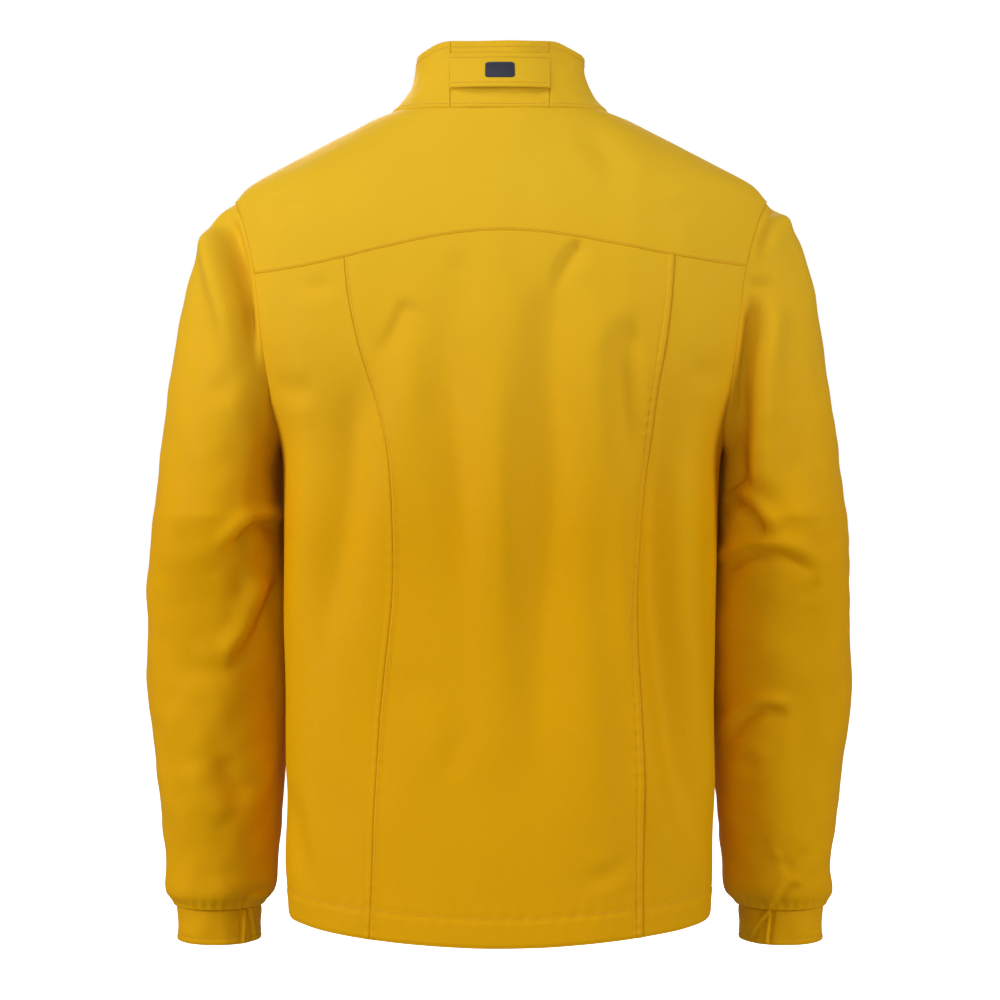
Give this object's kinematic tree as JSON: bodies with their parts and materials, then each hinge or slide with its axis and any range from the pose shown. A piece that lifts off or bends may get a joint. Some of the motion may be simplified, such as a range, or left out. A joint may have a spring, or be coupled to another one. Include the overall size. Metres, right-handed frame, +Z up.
{
  "type": "hardshell jacket",
  "caption": "Waterproof zip-front hardshell jacket, filled out as if worn, with a stand collar, back yoke, sewn cuffs and hand pockets.",
  "frame": {"origin": "middle of the neck opening at the height of the side neck points, where shoulders or a hanger carry the jacket", "axes": "+Z up, the wearer faces -Y, +X is the wearer's left"},
  "size_m": [0.616, 0.2651, 0.7708],
  "materials": {
    "shell": "smooth yellow laminated weave",
    "lining": "dark plain weave",
    "tape": "herringbone zip tape",
    "teeth": "moulded, satin",
    "slider": "dark coated metal",
    "puller": "moulded grip",
    "emblem": "heat-sealed film",
    "label": "woven tape",
    "hook": "brushed loop tape"
  },
  "bodies": {
    "jacket": {"back_yoke": "shell", "centre_back_panel": "shell", "collar_back_panel": "shell", "collar_tab": "shell", "hem_facing": "shell", "zip_guard": "shell", "chin_guard": "shell", "left_side_back_panel": "shell", "right_side_back_panel": "shell", "left_front_panel": "shell", "right_front_panel": "shell", "left_collar_wing": "shell", "right_collar_wing": "shell", "left_sleeve": "shell", "right_sleeve": "shell", "left_cuff": "shell", "right_cuff": "shell", "inner_collar": "lining", "back_lining": "lining", "left_front_lining": "lining", "right_front_lining": "lining", "left_sleeve_lining": "lining", "right_sleeve_lining": "lining", "left_pocket_bag": "lining", "right_pocket_bag": "lining", "left_zip_tape": "tape", "right_zip_tape": "tape", "left_pocket_zip": "tape", "right_pocket_zip": "tape", "left_zip_teeth": "teeth", "right_zip_teeth": "teeth", "insertion_pin": "teeth", "retainer_pin": "teeth", "retainer_box": "teeth", "left_top_stop": "slider", "right_top_stop": "slider", "emblem_patch": "emblem", "hanger_loop": "label", "neck_label": "label", "left_cuff_loop_tape": "hook", "right_cuff_loop_tape": "hook"},
    "main_slider": {"main_slider": "slider"},
    "main_puller": {"main_puller": "puller"},
    "left_pocket_slider": {"left_pocket_slider": "slider"},
    "right_pocket_slider": {"right_pocket_slider": "slider"},
    "left_pocket_puller": {"left_pocket_puller": "puller"},
    "right_pocket_puller": {"right_pocket_puller": "puller"},
    "left_cuff_tab": {"left_cuff_tab": "shell"},
    "right_cuff_tab": {"right_cuff_tab": "shell"}
  },
  "joints": [
    {"name": "main_zip", "type": "slide", "parent": "jacket", "child": "main_slider", "axis": [0, -0.0802, -0.9968], "range_m": [0, 0.704]},
    {"name": "main_puller_swing", "type": "hinge", "parent": "main_slider", "child": "main_puller", "pos_m": [0, -0.08235, 0.03052], "axis": [-1, 0, 0], "range_deg": [0, 150]},
    {"name": "left_pocket_zip_slide", "type": "slide", "parent": "jacket", "child": "left_pocket_slider", "axis": [0.2294, 0.0044, -0.9733], "range_m": [0, 0.147]},
    {"name": "left_pocket_puller_swing", "type": "hinge", "parent": "left_pocket_slider", "child": "left_pocket_puller", "pos_m": [0.08631, -0.11802, -0.47947], "axis": [-0.9524, -0.2053, -0.2254], "range_deg": [0, 150]},
    {"name": "left_cuff_tab_peel", "type": "hinge", "parent": "jacket", "child": "left_cuff_tab", "pos_m": [0.28431, -0.08227, -0.7065], "axis": [0, 0, 1], "range_deg": [0, 60]},
    {"name": "right_pocket_zip_slide", "type": "slide", "parent": "jacket", "child": "right_pocket_slider", "axis": [-0.2294, 0.0044, -0.9733], "range_m": [0, 0.147]},
    {"name": "right_pocket_puller_swing", "type": "hinge", "parent": "right_pocket_slider", "child": "right_pocket_puller", "pos_m": [-0.08631, -0.11802, -0.47947], "axis": [-0.9524, 0.2053, 0.2254], "range_deg": [0, 150]},
    {"name": "right_cuff_tab_peel", "type": "hinge", "parent": "jacket", "child": "right_cuff_tab", "pos_m": [-0.28431, -0.08227, -0.7065], "axis": [0, 0, -1], "range_deg": [0, 60]}
  ]
}
